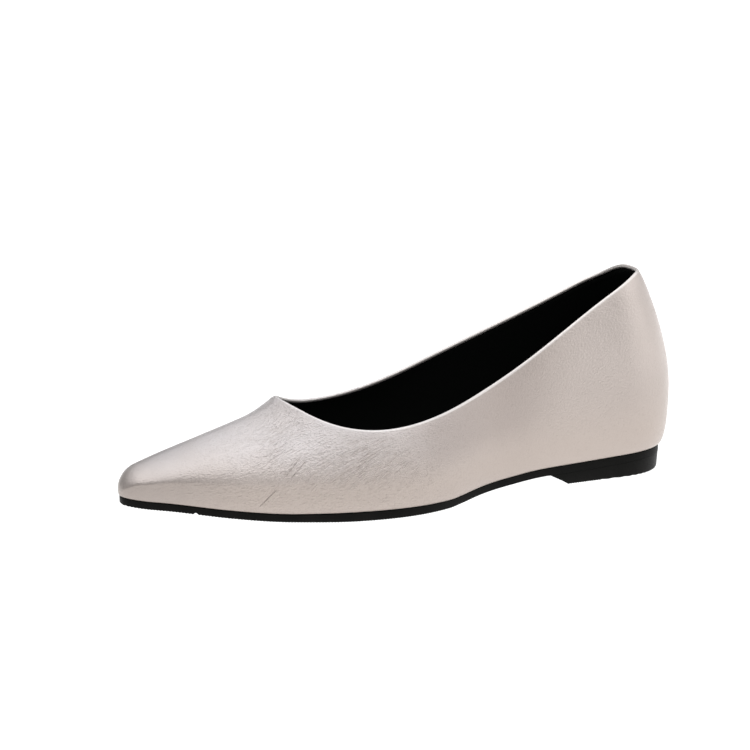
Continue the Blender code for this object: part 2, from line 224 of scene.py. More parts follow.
# How finely the curves are cut into faces. BACKING_TURNS and LINING_TURNS are in
# radians, and WALL_TURNS, FOOTBED_TURNS and SHARP_ANGLE in degrees.
HEEL_RIBS = 26
SIDE_RIBS = 190
VAMP_RIBS = 100
TOE_RIBS = 22
THROAT_CROWDING = 1.5
UNDER_ROWS = 14
UPPER_ROWS = 62
BEAD_ROWS = 8
SEAT_RIBS = 60
SOLE_HEEL_RIBS = 40
SOLE_TOE_RIBS = 60
BLOCK_END_RIBS = 60
BLOCK_RIBS = 90
CAP_STEPS = 4
WALL_TURNS = -58, -36, -17, *range(0, 75, 5)
FOOTBED_TURNS = 30, 60, 90
SHARP_ANGLE = 40
BACKING_ROWS = 8
BACKING_TOP = 0.9
BACKING_TURNS = -0.5, -1.0, -1.35
LINING_ROWS = 26
LINING_TOP = 0.93
LINING_TURNS = -0.4, -0.8
SOLE_STEP = 0.3 * MM
FOOTBED_ROWS = 10
DISH_STEPS = 24
HEEL_ROUND_SHARE = 0.7
PLAN_STEPS = 300
HALVINGS = 40
WELD = 0.002 * MM
ENDS_MEET = 0.2 * MM
FAR = 1.0


def table(columns, *rows):
    """Named columns of a short table."""
    return {name: np.array(values, float) for name, values in zip(columns.split(), zip(*rows))}


# Plan, in shares of half the sole's width: middle line and feather line.
# Sides, in shares of SWELL and SWELL_RISE: how far and how high each stands out.
# Ridge, in shares of THROAT_RISE and CONE_RISE. Full and roof shape the section
# over its widest line: full bends its start, and roof flattens it towards the ridge.
SECTIONS = table(
    "at     middle  feather  outer  inner  high  ridge  cone  full  roof",
    (0.000, 0.000, 0.69, 1.00, 1.00, 1.00, 1.00, 1.00, 0.50, 1.00),
    (0.120, 0.000, 0.64, 0.96, 1.00, 1.00, 1.00, 0.92, 0.53, 1.00),
    (0.250, 0.002, 0.63, 0.94, 1.30, 0.83, 1.00, 0.79, 0.51, 1.00),
    (0.400, 0.035, 0.70, 1.00, 1.90, 0.68, 1.00, 0.63, 0.48, 1.00),
    (0.500, 0.095, 0.885, 0.77, 1.40, 0.48, 1.00, 0.38, 0.51, 1.00),
    (0.600, 0.047, 0.97, 0.70, 0.80, 0.45, 1.00, 0.20, 0.50, 1.05),
    (0.724, -0.018, 0.83, 0.65, 0.65, 0.50, 1.00, 0.00, 0.55, 1.25),
    (0.840, -0.045, 0.60, 0.50, 0.50, 0.42, 0.69, 0.00, 0.55, 1.25),
    (0.930, -0.090, 0.37, 0.40, 0.40, 0.35, 0.43, 0.00, 0.57, 1.20),
    (1.000, -0.045, 0.21, 0.40, 0.40, 0.22, 0.24, 0.00, 0.62, 1.10),
)

# Topline from the back seam to the throat: shares of what the back and the
# throat rise over the side, and of the inner side's own extra height.
TOPLINE = table(
    "at     back   throat  inner",
    (0.000, 1.000, 0.00, 0.00),
    (0.040, 1.010, 0.00, -0.94),
    (0.110, 0.963, 0.00, -1.27),
    (0.277, 0.705, 0.00, -0.31),
    (0.485, 0.296, 0.00, 1.04),
    (0.693, 0.053, 0.00, 0.57),
    (0.831, 0.000, 0.00, 0.00),
    (0.942, 0.005, 0.39, 0.00),
    (1.000, 0.000, 1.00, 0.00),
)

# Underside of the outsole and top of the wedge, in shares of their rises, and how
# thick the outsole is, in shares of OUTSOLE
BOTTOM = table(
    "at    heel  toe   wedge  thick",
    (0.00, 1.00, 0.00, 1.00, 1.00),
    (0.19, 0.74, 0.00, 0.92, 1.08),
    (0.28, 0.64, 0.00, 0.72, 1.06),
    (0.34, 0.46, 0.00, 0.57, 1.06),
    (0.39, 0.31, 0.00, 0.44, 1.06),
    (0.42, 0.20, 0.00, 0.36, 1.06),
    (0.45, 0.07, 0.00, 0.28, 1.08),
    (0.475, 0.00, 0.00, 0.22, 1.10),
    (0.60, 0.00, 0.00, 0.05, 1.20),
    (0.64, 0.00, 0.00, 0.00, 1.20),
    (0.74, 0.00, 0.10, 0.00, 1.06),
    (0.84, 0.00, 0.385, 0.00, 1.02),
    (0.93, 0.00, 0.73, 0.00, 1.00),
    (1.00, 0.00, 1.00, 0.00, 1.00),
)

# Soft creases of the outer side: where each starts and ends as station and
# girth in mm, how wide it is in mm, and how far it sinks (or stands, if above 0).
CREASES = table(
    "s1     g1    s2     g2    width  lift",
    (186.0, 14.0, 173.0, 25.0, 2.2, -0.20),
    (182.0, 13.0, 168.0, 25.0, 2.4, -0.18),
    (178.0, 11.0, 163.0, 23.0, 2.6, -0.18),
    (173.0, 10.0, 158.0, 21.0, 3.0, -0.14),
    (172.0, 24.0, 160.0, 32.0, 2.6, -0.14),
    (166.0, 21.0, 152.0, 30.0, 3.0, -0.14),
    (160.0, 17.0, 145.0, 26.0, 3.4, -0.14),
    (152.0, 20.0, 136.0, 28.0, 4.0, -0.12),
    (188.0, 27.0, 178.0, 35.0, 2.6, -0.10),
)

# Fine lines that the creases of the toe box leave, sunk and darkened with painted shade: ends as station and
# girth, and half their width, in mm.
FINE_LINES = table(
    "s1     g1    s2     g2    width",
    (197.0, 15.5, 187.0, 27.0, 0.36),
    (193.4, 16.4, 185.6, 24.8, 0.26),
    (206.5, 3.0, 198.5, 12.6, 0.30),
)


def spline(at, values, x):
    """Smooth curve through the rows: a natural cubic."""
    steps = np.diff(at)
    slopes = np.diff(values) / steps
    matrix = np.eye(len(at))
    bends = np.zeros(len(at))
    for i in range(1, len(at) - 1):
        matrix[i, i - 1:i + 2] = steps[i - 1], 2 * (steps[i - 1] + steps[i]), steps[i]
        bends[i] = 6 * (slopes[i] - slopes[i - 1])
    bends = np.linalg.solve(matrix, bends)
    x = np.clip(x, at[0], at[-1])
    i = np.clip(np.searchsorted(at, x) - 1, 0, len(at) - 2)
    left, right, step = x - at[i], at[i + 1] - x, steps[i]
    line = (values[i] * right + values[i + 1] * left) / step
    pull = bends[i] * right * (right**2 / step - step) + bends[i + 1] * left * (left**2 / step - step)
    return line + pull / 6


def glide(at, values, x):
    """Curve through the rows that never swings past them."""
    steps = np.diff(at)
    slopes = np.diff(values) / steps
    tangents = np.zeros(len(at))
    same_way = slopes[:-1] * slopes[1:] > 0
    tangents[1:-1][same_way] = 2 / (1 / slopes[:-1][same_way] + 1 / slopes[1:][same_way])
    tangents[-1] = slopes[-1]
    x = np.clip(x, at[0], at[-1])
    i = np.clip(np.searchsorted(at, x) - 1, 0, len(at) - 2)
    u, step = (x - at[i]) / steps[i], steps[i]
    start = (1 + 2 * u) * (1 - u)**2 * values[i] + u * (1 - u)**2 * step * tangents[i]
    end = u**2 * (3 - 2 * u) * values[i + 1] + u**2 * (u - 1) * step * tangents[i + 1]
    return start + end


def smooth(low, high, x):
    """Soft step from 0 at low to 1 at high, also where low is the larger."""
    t = np.clip((x - low) / (high - low), 0, 1)
    return t * t * (3 - 2 * t)


def row(name, s):
    """One column of SECTIONS at station s."""
    return spline(SECTIONS["at"], SECTIONS[name], s / LENGTH)


def closing(distance, radius, power):
    """Share of the full width at a distance from a rounded end."""
    rest = np.clip(1 - distance / radius, 0, 1)
    return (1 - rest**power)**(1 / power)


def arc_drop(share):
    """How far a rounded corner has turned in, 0 at its start and 1 at its end."""
    return 1 - np.sqrt(np.clip(1 - np.clip(share, 0, 1)**TUCK_ROUND, 0, 1))


def underside(s):
    """Height of the outsole's underside, apart from its groove and tread."""
    t = s / LENGTH
    heel = HEEL_RISE * glide(BOTTOM["at"], BOTTOM["heel"], t)
    return heel + TOE_SPRING * glide(BOTTOM["at"], BOTTOM["toe"], t)


def feather_height(s):
    """Height of the line where the upper meets the sole."""
    return underside(s) + OUTSOLE * glide(BOTTOM["at"], BOTTOM["thick"], s / LENGTH)


def stance(s):
    """Smooth ground line that the topline and the ridge are measured from."""
    heel = HEEL_RISE * np.clip(1 - s / THROAT_AT, 0, 1)**2
    return OUTSOLE + heel + TOE_SPRING * glide(BOTTOM["at"], BOTTOM["toe"], s / LENGTH)


def ridge_height(s):
    """Top line of the last: its cone behind the throat, the vamp's ridge before it."""
    full = stance(s) + THROAT_RISE * row("ridge", s) + CONE_RISE * row("cone", s)
    full = full + THROAT_FLICK * smooth(THROAT_AT - FLICK_FADE, THROAT_AT - 2 * FLICK_FADE, s)
    nose = feather_height(s) + NOSE_RISE
    return nose + (full - nose) * closing(LENGTH - s, NOSE_LENGTH, NOSE_ROUND)


def throat_flick(s, along):
    """How far the vamp's ridge turns up at the throat, only near the ridge."""
    rise = THROAT_FLICK * np.clip(1 - (s - THROAT_AT) / FLICK_LENGTH, 0, FLICK_LIMIT)**2
    fade = smooth(THROAT_AT - 2 * FLICK_FADE, THROAT_AT - FLICK_FADE, s)
    return rise * fade * along**FLICK_POWER


def topline_height(s, side):
    """Height of the collar's edge behind the throat."""
    t = s / THROAT_AT
    back = (BACK_RISE - SIDE_RISE) * spline(TOPLINE["at"], TOPLINE["back"], t)
    peak = ridge_height(THROAT_AT) + THROAT_FLICK - stance(THROAT_AT)
    throat = (peak - SIDE_RISE) * spline(TOPLINE["at"], TOPLINE["throat"], t)
    extra = INNER_EXTRA * spline(TOPLINE["at"], TOPLINE["inner"], t) if side == INNER else 0
    return stance(s) + SIDE_RISE + back + throat + extra


def swell_column(side):
    """Column of SECTIONS that holds a side's swell."""
    return "outer" if side == OUTER else "inner"


def widest(side):
    """How far a side reaches from the line that the table measures from."""
    s = np.linspace(0, LENGTH, PLAN_STEPS)
    middle = side * row("middle", s)
    return np.max(SOLE_WIDTH / 2 * (middle + row("feather", s)) + SWELL * row(swell_column(side), s))


SIDEWAYS = (widest(INNER) - widest(OUTER)) / 2


def middle_line(s):
    """Middle of the feather line, with the shoe's widest parts as far to each side."""
    return SOLE_WIDTH / 2 * row("middle", s) + SIDEWAYS


def section(s, side):
    """Middle line, feather width, swell, feather height, swell height and ridge height."""
    close = closing(s, HEEL_RADIUS, HEEL_ROUND) * closing(LENGTH - s, TOE_RADIUS, TOE_ROUND)
    low = feather_height(s)
    ridge = ridge_height(s)
    mid = low + SWELL_RISE * row("high", s)
    mid = np.minimum(mid, low + SWELL_LIMIT * (ridge - low))
    swell = SWELL * row(swell_column(side), s) * close
    return middle_line(s), SOLE_WIDTH / 2 * row("feather", s) * close, swell, low, mid, ridge


def place(s, x, z, low, mid):
    """Point of the upper, with the back leaning in and both ends tucked under."""
    top = HEEL_RISE + OUTSOLE + BACK_RISE
    lean = BACK_LEAN * np.clip((z - mid) / (top - mid), 0, None)**BACK_LEAN_POWER
    drop = arc_drop((mid - z) / (mid - low))
    back = (lean + BACK_TUCK * drop) * np.clip(1 - s / BACK_REACH, 0, 1)**2
    toe = TOE_TUCK * drop * np.clip(1 - (LENGTH - s) / TOE_REACH, 0, 1)**2
    return np.stack([x, LENGTH / 2 - s - back + toe, z], -1)


def skin(s, side, turn):
    """Outer surface: turn is -pi/2 at the feather, 0 at the swell, pi/2 at the ridge."""
    middle, feather, swell, low, mid, ridge = section(s, side)
    across = np.abs(np.cos(turn))
    along = np.abs(np.sin(turn))
    under = 2 / TUCK_ROUND
    over = (feather + swell) * across**row("roof", s)
    reach = np.where(turn < 0, feather + swell * across**under, over)
    rise = (ridge - mid) * along**(2 * row("full", s)) + throat_flick(s, along)
    z = np.where(turn < 0, mid - (mid - low) * along**under, mid + rise)
    return place(s, middle + side * reach, z, low, mid)


def collar_turn(s, side):
    """Turn at which the section is cut by the topline."""
    low, high = np.zeros(len(s)), np.full(len(s), math.pi / 2)
    height = topline_height(s, side)
    for step in range(HALVINGS):
        turn = (low + high) / 2
        over = skin(s, side, turn)[:, 2] > height
        low, high = np.where(over, low, turn), np.where(over, turn, high)
    return np.where(s < THROAT_AT, turn, math.pi / 2)


def slopes(s, side, turn):
    """How the skin runs along the shoe and up the wall, per metre and per radian."""
    reach = 0.02 * MM
    tilt = 0.002
    limit = math.pi / 2
    after, before = np.minimum(s + reach, LENGTH), np.maximum(s - reach, 0)
    over, under = np.minimum(turn + tilt, limit), np.maximum(turn - tilt, -limit)
    ahead = skin(after, side, turn) - skin(before, side, turn)
    upward = skin(s, side, over) - skin(s, side, under)
    return ahead / (after - before)[..., None], upward / (over - under)[..., None]


def unit(v):
    """Vectors of length 1."""
    return v / np.linalg.norm(v, axis=-1, keepdims=True)


def normal(s, side, turn):
    """Direction that points out of the shoe."""
    ahead, upward = slopes(s, side, turn)
    return unit(side * np.cross(upward, ahead))


def inner_skin(s, side, turn, depth):
    """Point at a depth under the outer surface, along its normal."""
    return skin(s, side, turn) - depth * normal(s, side, turn)


def plan_line(s, side, inset, height):
    """Feather line in plan, moved in by a distance and set at a height."""
    reach = 0.05 * MM
    low = -math.pi / 2
    ahead = skin(np.minimum(s + reach, LENGTH), side, low)
    way = ahead - skin(np.maximum(s - reach, 0), side, low)
    way[(s <= 0) | (s >= LENGTH), 1] = 0
    way = way / np.hypot(way[:, 0], way[:, 1])[:, None]
    line = skin(s, side, low)
    line[:, 0] += side * inset * way[:, 1]
    line[:, 1] -= side * inset * way[:, 0]
    line[:, 2] = height
    return line


def wall_line(s, side, height, depth):
    """Line round the inside of the upper at a height for each station."""
    corner = plan_line(s, side, depth, feather_height(s) + depth)
    turns = [np.full(len(s), math.radians(turn)) for turn in WALL_TURNS]
    points = np.array([corner] + [inner_skin(s, side, turn, depth) for turn in turns])
    line = np.empty((len(s), 3))
    for k in range(len(s)):
        line[k, 0] = np.interp(height[k], points[:, k, 2], points[:, k, 0])
        line[k, 1] = np.interp(height[k], points[:, k, 2], points[:, k, 1])
    ends = (s <= 0) | (s >= LENGTH)
    line[ends, 0] = middle_line(s)[ends]
    line[:, 2] = height
    return line


def footbed_height(s):
    """Top of the footbed at its edge."""
    wedge = WEDGE_RISE * glide(BOTTOM["at"], BOTTOM["wedge"], s / LENGTH)
    return feather_height(s) + WALL + GAP + FOOTBED + wedge


def end_steps(count):
    """Shares that crowd towards 0, for a rounded end."""
    return 1 - np.cos(np.arange(count) / count * math.pi / 2)


def rib_stations():
    """Stations of the upper's ribs, at the feather and at the topline."""
    heel = HEEL_RADIUS * end_steps(HEEL_RIBS)
    toe = LENGTH - TOE_RADIUS * end_steps(TOE_RIBS)[::-1]
    share = np.arange(SIDE_RIBS + 1) / SIDE_RIBS
    side = THROAT_AT - HEEL_RADIUS
    collar_low = np.concatenate([heel, HEEL_RADIUS + side * share])
    collar_top = np.concatenate([heel, THROAT_AT - side * (1 - share)**THROAT_CROWDING])
    return collar_low, collar_top, toe


def crease_lift(s, girth, side):
    """Relief of the creases: soft troughs and ridges along straight runs."""
    lift = np.zeros(np.shape(s))
    if side == INNER:
        return lift
    for s1, g1, s2, g2, width, depth in zip(*(CREASES[name] * MM for name in CREASES)):
        run = np.array([s2 - s1, g2 - g1])
        length = np.hypot(*run)
        along = ((s - s1) * run[0] + (girth - g1) * run[1]) / length
        bow = CREASE_BOW * length * np.sin(np.clip(along / length, 0, 1) * math.pi)
        across = ((s - s1) * run[1] - (girth - g1) * run[0]) / length - bow
        begun, ended = (smooth(low * length, high * length, along) for low, high in CREASE_ENDS)
        lift += depth * (begun * ended) * np.exp(-(across / (0.5 * width))**2)
    return lift


def girths(points):
    """Distance over the skin from the first row of points, for each row."""
    steps = np.linalg.norm(np.diff(points, axis=0), axis=-1)
    return np.concatenate([np.zeros((1, points.shape[1])), np.cumsum(steps, axis=0)])


def edge_frame(side):
    """Stations and turns of the skin's last row behind the bead, and its free direction."""
    collar_top = rib_stations()[1]
    turn = collar_turn(collar_top, side)
    turn[-1] = math.pi / 2
    edge = skin(collar_top, side, turn)
    out = normal(collar_top, side, turn)
    along = np.gradient(edge, axis=0)
    along[0] = edge[1] - edge[0]
    along[0, 1:] = 0
    along[-1] = edge[-1] - edge[-2]
    along[-1, 1:] = 0
    free = unit(np.cross(along, out) * side)
    ahead, upward = slopes(collar_top, side, turn)
    back = -WALL / 2 * free
    aa, ab, bb = (np.sum(p * q, -1) for p, q in ((ahead, ahead), (ahead, upward), (upward, upward)))
    ra, rb = np.sum(ahead * back, -1), np.sum(upward * back, -1)
    det = aa * bb - ab**2
    s = collar_top + (ra * bb - rb * ab) / det
    turn = turn + (rb * aa - ra * ab) / det
    s[0] = 0
    turn[-1] = math.pi / 2
    return np.clip(s, 0, LENGTH), np.minimum(turn, math.pi / 2), free


def half_rows(side):
    """Stations and turns of one half of the skin, feather to topline or ridge."""
    collar_low, collar_top, toe = rib_stations()
    edge_s, edge_turn, free = edge_frame(side)
    vamp_from = edge_s[-1]
    vamp = np.linspace(vamp_from, LENGTH - TOE_RADIUS, VAMP_RIBS + 1)[1:]
    vamp_low = np.linspace(THROAT_AT, LENGTH - TOE_RADIUS, VAMP_RIBS + 1)[1:]
    low = np.concatenate([collar_low, vamp_low, toe])
    top = np.concatenate([edge_s, vamp, toe])
    top_turn = np.concatenate([edge_turn, np.full(len(vamp) + len(toe), math.pi / 2)])
    return low, top, top_turn, free


def skin_grid(side):
    """Grid of stations and turns over one half, from the feather up."""
    low, top, top_turn, free = half_rows(side)
    under = -math.pi / 2 * (1 - np.arange(UNDER_ROWS) / UNDER_ROWS)
    share = np.linspace(0, 1, UPPER_ROWS + 1)
    s = np.concatenate([np.tile(low, (UNDER_ROWS, 1)), low + (top - low) * share[:, None]])
    turn = np.concatenate([np.tile(under[:, None], len(low)), top_turn * share[:, None]])
    return s, turn, free


def join(pair, ridge_rows, collar):
    """Both sides meet in the same points at the back, the toe and, in some rows, the ridge."""
    parts = [(slice(None), 0), (slice(None), -1)]
    parts += [(number, slice(collar, None)) for number in ridge_rows]
    for part in parts:
        pair[0][part] = pair[1][part] = (pair[0][part] + pair[1][part]) / 2


def ripple(point, size):
    """Gentle unevenness, the same each run."""
    return noise.noise(Vector(point) / size)


def grid_faces(columns, rows, first, flip):
    """Corner numbers of the quads of a grid."""
    faces = []
    for j in range(rows - 1):
        for k in range(columns - 1):
            a = first + j * columns + k
            quad = (a, a + 1, a + 1 + columns, a + columns)
            faces.append(quad[::-1] if flip else quad)
    return faces


def mesh_object(name, grids, cover, marks=None):
    """Covered object from grids of points, welded where they meet, with marks kept per point."""
    points, faces, values = [], [], []
    for number, (grid, flip) in enumerate(grids):
        grid = np.asarray(grid)
        faces += grid_faces(grid.shape[1], grid.shape[0], len(points), flip)
        points += [tuple(p) for p in grid.reshape(-1, 3)]
        if marks is not None:
            values += [tuple(v) for v in marks[number].reshape(-1, 3)]
    mesh = bmesh.new()
    layer = mesh.verts.layers.float_vector.new("skin_at") if marks is not None else None
    for index, point in enumerate(points):
        vert = mesh.verts.new(point)
        if layer is not None:
            vert[layer] = values[index]
    mesh.verts.ensure_lookup_table()
    for face in faces:
        mesh.faces.new([mesh.verts[k] for k in face])
    bmesh.ops.remove_doubles(mesh, verts=mesh.verts, dist=WELD)
    bmesh.ops.recalc_face_normals(mesh, faces=mesh.faces)
    data = bpy.data.meshes.new(name)
    mesh.to_mesh(data)
    mesh.free()
    data.shade_smooth()
    data.materials.append(cover)
    piece = bpy.data.objects.new(name, data)
    bpy.context.scene.collection.objects.link(piece)
    return piece


def relief(points, s, girth, side, collar):
    """How far creases and unevenness lift the skin, and how far its edge is drawn in."""
    below = girth[-1] - girth
    lift = crease_lift(s, girth, side) * smooth(0, CREASE_FROM_EDGE, below)
    lift = lift * smooth(0, CREASE_FROM_FEATHER, girth)
    flat = points.reshape(-1, 3)
    wave = np.array([ripple(p, UNEVEN_SIZE) + 0.5 * ripple(p, UNEVEN_SMALL) for p in flat])
    calm = smooth(0, CALM_REACH, girth) * smooth(0, CALM_REACH, below)
    rolled = np.clip(1 - below / EDGE_ROLL_REACH, 0, 1)**2
    rolled[:, collar + 1:] = 0
    return lift + UNEVENNESS * wave.reshape(s.shape) * calm - EDGE_ROLL * rolled


def skin_half(side, collar):
    """One half of the skin: its grid, directions, girths and the surface that shows."""
    s, turn, free = skin_grid(side)
    half = SimpleNamespace(side=side, s=s, turn=turn, free=free)
    half.points = skin(s, side, turn)
    half.out = normal(s, side, turn)
    half.girth = girths(half.points)
    lift = relief(half.points, s, half.girth, side, collar)
    half.shown = half.points + half.out * lift[..., None]
    return half


def folded_edge(edge, n, free, under):
    """Rows of the folded topline: half a turn round it, then in under the lining's edge."""
    centre = edge - WALL / 2 * n
    turns = np.linspace(0, math.pi, BEAD_ROWS + 1)
    rows = [centre + WALL / 2 * (n * math.cos(a) + free * math.sin(a)) for a in turns]
    rows[0] = edge
    rows.append(rows[-1] - LINING_DROP * free)
    rows.append(under - LINING_DROP * free)
    return rows


def leather_back(half, first):
    """Rows down the leather's back face, from its first row to the lasting margin."""
    low, top, top_turn = half.s[0], half.s[-1], half.turn[-1]
    share = np.linspace(BACKING_TOP, 0, BACKING_ROWS)
    rows = [inner_skin(low + (top - low) * v, half.side, top_turn * v, LEATHER) for v in share]
    rows += [inner_skin(low, half.side, np.full(len(low), a), LEATHER) for a in BACKING_TURNS]
    for inset, rise in ((LEATHER, LEATHER), (MARGIN, LEATHER), (MARGIN, 0)):
        rows.append(plan_line(low, half.side, inset, feather_height(low) + rise))
    return [first] + rows


def build_upper(cover):
    """Leather of the upper: outer skin, folded topline edge, back face and lasting margin."""
    collar = len(rib_stations()[1]) - 1
    edge_part = slice(collar + 1)
    halves = [skin_half(side, collar) for side in (OUTER, INNER)]
    join([half.shown for half in halves], (-1,), collar)
    beads, backs, margins = [], [], []
    for half in halves:
        low, n = half.s[0], half.out[-1, edge_part]
        under = half.points[-1, edge_part] - LEATHER * n
        bead = folded_edge(half.shown[-1, edge_part], n, half.free, under)
        first = inner_skin(half.s[-1], half.side, half.turn[-1], LEATHER)
        first[edge_part] = bead[-1]
        beads.append(np.array(bead))
        backs.append(np.array(leather_back(half, first)))
        margins.append(np.array([plan_line(low, half.side, MARGIN, feather_height(low)), half.shown[0]]))
    join(beads, (), collar)
    join(margins, (), collar)
    join(backs, (0,), collar)
    grids, marks = [], []
    for half, bead, back, margin in zip(halves, beads, backs, margins):
        bead[-1] = back[0, edge_part]
        below = half.girth[-1] - half.girth
        below[:, collar + 1:] = FAR
        bead_at, back_at, margin_at = (np.zeros(grid.shape[:2]) for grid in (bead, back, margin))
        for grid, up, down in (
            (half.shown, half.girth, below),
            (bead, bead_at + half.girth[-1, edge_part], bead_at),
            (back, back_at, back_at + FAR),
            (margin, margin_at, margin_at + FAR),
        ):
            grids.append((grid, half.side == OUTER))
            marks.append(np.stack([LENGTH / 2 - grid[..., 1], up, down], -1))
    piece = mesh_object("upper_shell", grids, cover, marks)
    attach(piece, "root")
    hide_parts("upper")


def build_lining(cover):
    """Thin black lining inside the leather, cut off just under the folded edge."""
    collar = len(rib_stations()[1]) - 1
    pairs = []
    for side in (OUTER, INNER):
        low, top, top_turn, free = half_rows(side)
        last = collar + 1
        share = np.concatenate([[1.0], np.linspace(LINING_TOP, 0, LINING_ROWS)])
        rows = []
        for depth, order in ((WALL, 1), (LEATHER + LINING_GAP, -1)):
            face = [inner_skin(low + (top - low) * v, side, top_turn * v, depth) for v in share]
            face[0][:last] -= (LINING_DROP + LINING_GAP) * free
            face += [inner_skin(low, side, np.full(len(low), a), depth) for a in LINING_TURNS]
            rows += face[::order]
        rows.append(rows[0])
        pairs.append(np.array(rows))
    join(pairs, (0, -2, -1), collar)
    grids = [(pairs[0], False), (pairs[1], True)]
    piece = mesh_object("lining", grids, cover)
    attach(piece, "root")


def ring_grid(rings):
    """Grids of a closed piece from rings of outer and inner lines."""
    outer = np.array([ring[0] for ring in rings])
    inner = np.array([ring[1] for ring in rings])
    for part in (0, -1):
        if np.abs(outer[:, part] - inner[:, part]).max() < ENDS_MEET:
            outer[:, part] = inner[:, part] = (outer[:, part] + inner[:, part]) / 2
    grids = [(outer, False), (inner, False)]
    if np.abs(outer[:, -1] - inner[:, -1]).max() > ENDS_MEET:
        grids.append((np.array([outer[:, -1], inner[:, -1]]), False))
    return grids, outer, inner


def cap_grid(outer, inner, across, dish=0.0):
    """Grid from the outer to the inner line, sunk in the middle."""
    rows = []
    for share in np.linspace(0, 1, across + 1):
        line = outer + (inner - outer) * share
        line[:, 2] -= dish * 4 * share * (1 - share)
        rows.append(line)
    return np.array(rows)


def both_sides(line, *values):
    """The same line of points on the outer and the inner side."""
    return [line(values[0], side, *values[1:]) for side in (OUTER, INNER)]


def build_footbed(cover):
    """Padded footbed with the wedge under the heel, its upper edge rolled over."""
    collar_low, _, _ = rib_stations()
    toe = FOOTBED_END - TOE_RADIUS * end_steps(TOE_RIBS)[::-1]
    middle = np.linspace(THROAT_AT, FOOTBED_END - TOE_RADIUS, SEAT_RIBS)[1:-1]
    s = np.concatenate([collar_low, middle, toe])
    low = feather_height(s)
    seat = low + WALL + GAP
    top = footbed_height(s)
    inset = MARGIN + FOOTBED_GAP
    depth = WALL + FOOTBED_GAP
    rings = [both_sides(plan_line, s, inset, low), both_sides(plan_line, s, inset, seat)]
    for share in np.linspace(0, 1, FOOTBED_ROWS + 1):
        rings.append(both_sides(wall_line, s, seat + (top - FOOTBED_ROLL - seat) * share, depth))
    for turn in np.radians(FOOTBED_TURNS):
        height = top - FOOTBED_ROLL * (1 - math.sin(turn))
        rings.append(both_sides(wall_line, s, height, depth + FOOTBED_ROLL * (1 - math.cos(turn))))
    close = closing(FOOTBED_END - s, TOE_RADIUS, TOE_ROUND)
    for ring in rings:
        for line in ring:
            line[:, 0] = middle_line(s) + (line[:, 0] - middle_line(s)) * close
        ring[0][-1] = ring[1][-1] = (ring[0][-1] + ring[1][-1]) / 2
    grids, outer, inner = ring_grid(rings)
    grids.append((cap_grid(outer[0], inner[0], 1), False))
    grids.append((cap_grid(outer[-1], inner[-1], DISH_STEPS, FOOTBED_DISH), False))
    piece = mesh_object("footbed", grids, cover)
    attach(piece, "root")
    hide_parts("insole")


def groove(s):
    """Depth of the tread's cross groove."""
    return GROOVE_DEPTH * np.clip(1 - np.abs(s - GROOVE_AT) / (GROOVE_WIDTH / 2), 0, 1)


def tread(s):
    """Depth of the fine ribs that cross the tread."""
    return TREAD_DEPTH * (0.5 - 0.5 * np.cos(2 * math.pi * s / TREAD_PITCH))


def build_outsole(cover):
    """Thin rubber outsole with a finely ribbed tread and one cross groove."""
    inside = np.arange(HEEL_RADIUS, LENGTH - TOE_RADIUS, SOLE_STEP)
    toe = LENGTH - TOE_RADIUS * end_steps(SOLE_TOE_RIBS)[::-1]
    s = np.concatenate([HEEL_RADIUS * end_steps(SOLE_HEEL_RIBS), inside, toe])
    ribs = tread(s) * smooth(TREAD_FROM - TREAD_FADE, TREAD_FROM, s) + groove(s)
    plain = underside(s)
    top = feather_height(s) - GAP
    soft = SOLE_BEVEL / 4
    breast = HEEL_LENGTH + BREAST_SLANT
    grown = smooth(breast - BREAST_FADE, breast + BREAST_FADE, s)
    bevel = SOLE_BEVEL * (BEVEL_AT_HEEL + (1 - BEVEL_AT_HEEL) * grown)
    rings = [
        both_sides(plan_line, s, 4 * soft, top),
        both_sides(plan_line, s, soft, top),
        both_sides(plan_line, s, 0, top - soft),
        both_sides(plan_line, s, 0, plain + bevel + 0.5 * ribs),
        both_sides(plan_line, s, KNEE * bevel, plain + KNEE * bevel + ribs),
        both_sides(plan_line, s, bevel, plain + ribs),
    ]
    grids, outer, inner = ring_grid(rings)
    grids.append((cap_grid(outer[0], inner[0], 1), False))
    grids.append((cap_grid(outer[-1], inner[-1], CAP_STEPS), False))
    piece = mesh_object("outsole_tread", grids, cover)
    piece.data.set_sharp_from_angle(angle=math.radians(SHARP_ANGLE))
    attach(piece, "root")
    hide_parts("outsole")


def build_heel_block(cover):
    """Low heel with a slanted breast, a soft lower edge and a ribbed tread."""
    round_end = end_steps(BLOCK_END_RIBS) * HEEL_ROUND_SHARE
    share = np.concatenate([round_end, np.linspace(HEEL_ROUND_SHARE, 1, BLOCK_RIBS)])
    steps = (
        (HEEL_JOINT, None, HEEL_LENGTH + BREAST_SLANT),
        (HEEL_INSET, HEEL_BEVEL, HEEL_LENGTH + BREAST_SLANT * HEEL_BEVEL / HEEL_RISE),
        (HEEL_INSET + KNEE * HEEL_BEVEL, KNEE * HEEL_BEVEL, HEEL_LENGTH),
        (HEEL_INSET + HEEL_BEVEL, 0, HEEL_LENGTH),
    )
    rings = []
    for inset, rise, breast in steps:
        s = share * breast
        if rise is None:
            height = underside(s) - HEEL_JOINT
        else:
            height = rise + tread(s) * (1 if rise < HEEL_BEVEL else 0) * smooth(0, HEEL_TREAD_FADE, s)
        rings.append(both_sides(plan_line, s, inset, height))
    grids, outer, inner = ring_grid(rings)
    grids.append((cap_grid(outer[0], inner[0], 1), False))
    grids.append((cap_grid(outer[-1], inner[-1], CAP_STEPS), False))
    piece = mesh_object("heel_tread_block", grids, cover)
    piece.data.set_sharp_from_angle(angle=math.radians(SHARP_ANGLE))
    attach(piece, "root")
    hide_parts("heel_block")


